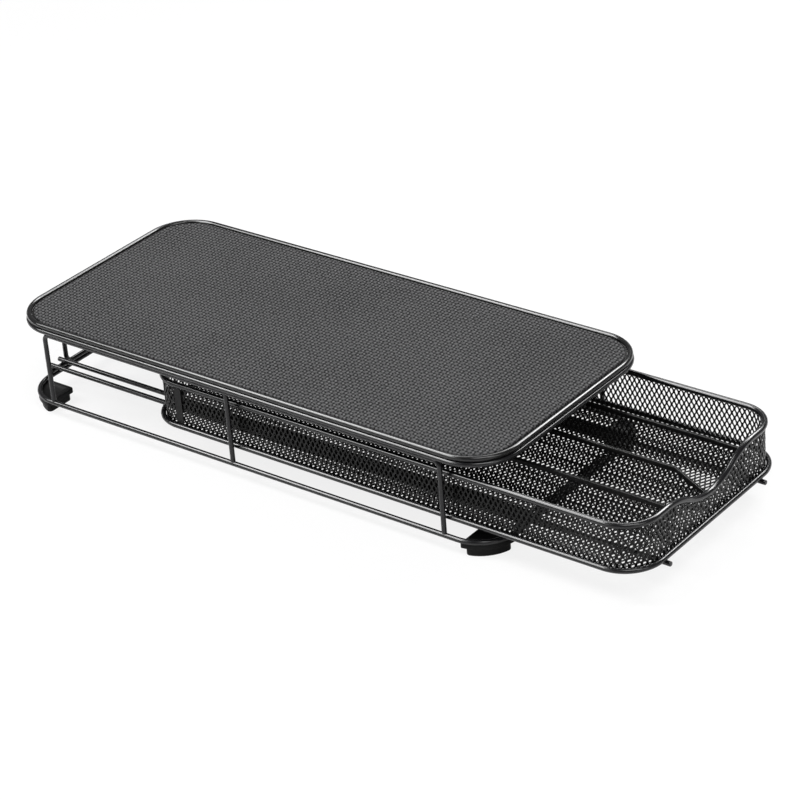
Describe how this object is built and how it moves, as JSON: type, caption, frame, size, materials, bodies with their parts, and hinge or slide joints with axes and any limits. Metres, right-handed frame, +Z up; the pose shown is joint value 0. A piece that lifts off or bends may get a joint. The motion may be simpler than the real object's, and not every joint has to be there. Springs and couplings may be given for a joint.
{
  "type": "coffee pod drawer",
  "caption": "Wire frame with a flat matted top on four rubber feet, and an expanded-mesh drawer with lengthwise rows that slides out to the front.",
  "frame": {"origin": "on the table, under the middle of the whole part with its drawer partly out", "axes": "+X is the front, where the drawer comes out, +Y the far side, +Z up"},
  "size_m": [0.4596, 0.165, 0.065],
  "materials": {
    "frame_wire": "glossy",
    "top_sheet": "satin",
    "mat": "matte, finely embossed",
    "foot_rubber": "matte",
    "basket_wire": "glossy",
    "basket_sheet": "satin"
  },
  "bodies": {
    "frame": {"top_panel": "top_sheet", "top_mat": "mat", "top_rim": "top_sheet", "top_ring": "frame_wire", "side_frame_near": "frame_wire", "side_frame_far": "frame_wire", "middle_post_near": "frame_wire", "middle_post_far": "frame_wire", "base_ring": "frame_wire", "rear_hanger": "frame_wire", "front_rest": "frame_wire", "rail_near_outer": "frame_wire", "rail_near_inner": "frame_wire", "rail_far_inner": "frame_wire", "rail_far_outer": "frame_wire", "foot_rear_near": "foot_rubber", "foot_rear_far": "foot_rubber", "foot_front_near": "foot_rubber", "foot_front_far": "foot_rubber"},
    "drawer": {"basket_rim": "basket_wire", "basket_ring": "basket_wire", "basket_floor": "basket_sheet", "wall_near": "basket_sheet", "wall_far": "basket_sheet", "wall_front": "basket_sheet", "wall_rear": "basket_sheet", "corner_rear_near": "basket_sheet", "corner_rear_far": "basket_sheet", "corner_front_near": "basket_sheet", "corner_front_far": "basket_sheet", "seam_strip": "basket_sheet", "runner_near": "basket_wire", "runner_far": "basket_wire", "divider_near": "basket_sheet", "divider_middle": "basket_sheet", "divider_far": "basket_sheet"}
  },
  "joints": [
    {"name": "drawer_slide", "type": "slide", "parent": "frame", "child": "drawer", "axis": [1, 0, 0], "range_m": [-0.0955, 0.155]}
  ]
}
